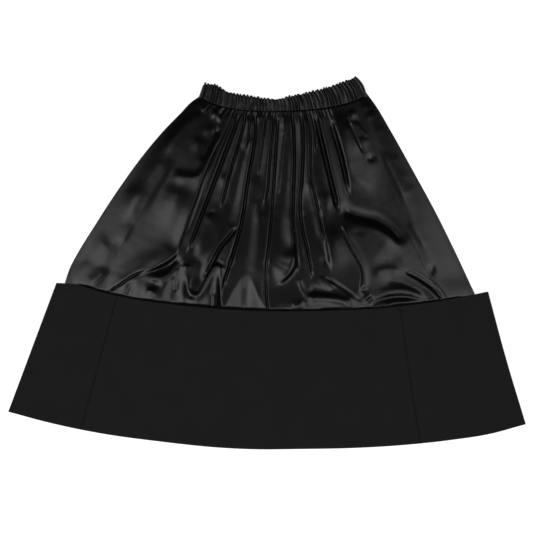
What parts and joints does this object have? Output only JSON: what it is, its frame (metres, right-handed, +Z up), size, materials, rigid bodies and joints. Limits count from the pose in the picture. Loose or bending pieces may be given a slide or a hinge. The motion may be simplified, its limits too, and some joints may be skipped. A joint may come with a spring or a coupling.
{
  "type": "gathered skirt",
  "caption": "Flared satin skirt gathered on to an elastic waist, with a wide stiff matte hem band, laid flat with its panels one on the other.",
  "frame": {"origin": "middle of the skirt's outline, on the surface it lies on", "axes": "+X across the skirt from its left to its right as seen from above, +Y from the hem to the waist, +Z up from the surface"},
  "size_m": [0.993, 0.7142, 0.024],
  "materials": {
    "satin": "black satin, soft low sheen",
    "gabardine": "matte black gabardine, stiffened"
  },
  "bodies": {
    "root": {"waistband": "satin", "body_front": "satin", "body_back": "satin", "body_side_left": "satin", "body_side_right": "satin", "band_front": "gabardine", "band_back": "gabardine", "band_side_left": "gabardine", "band_side_right": "gabardine"}
  },
  "joints": []
}
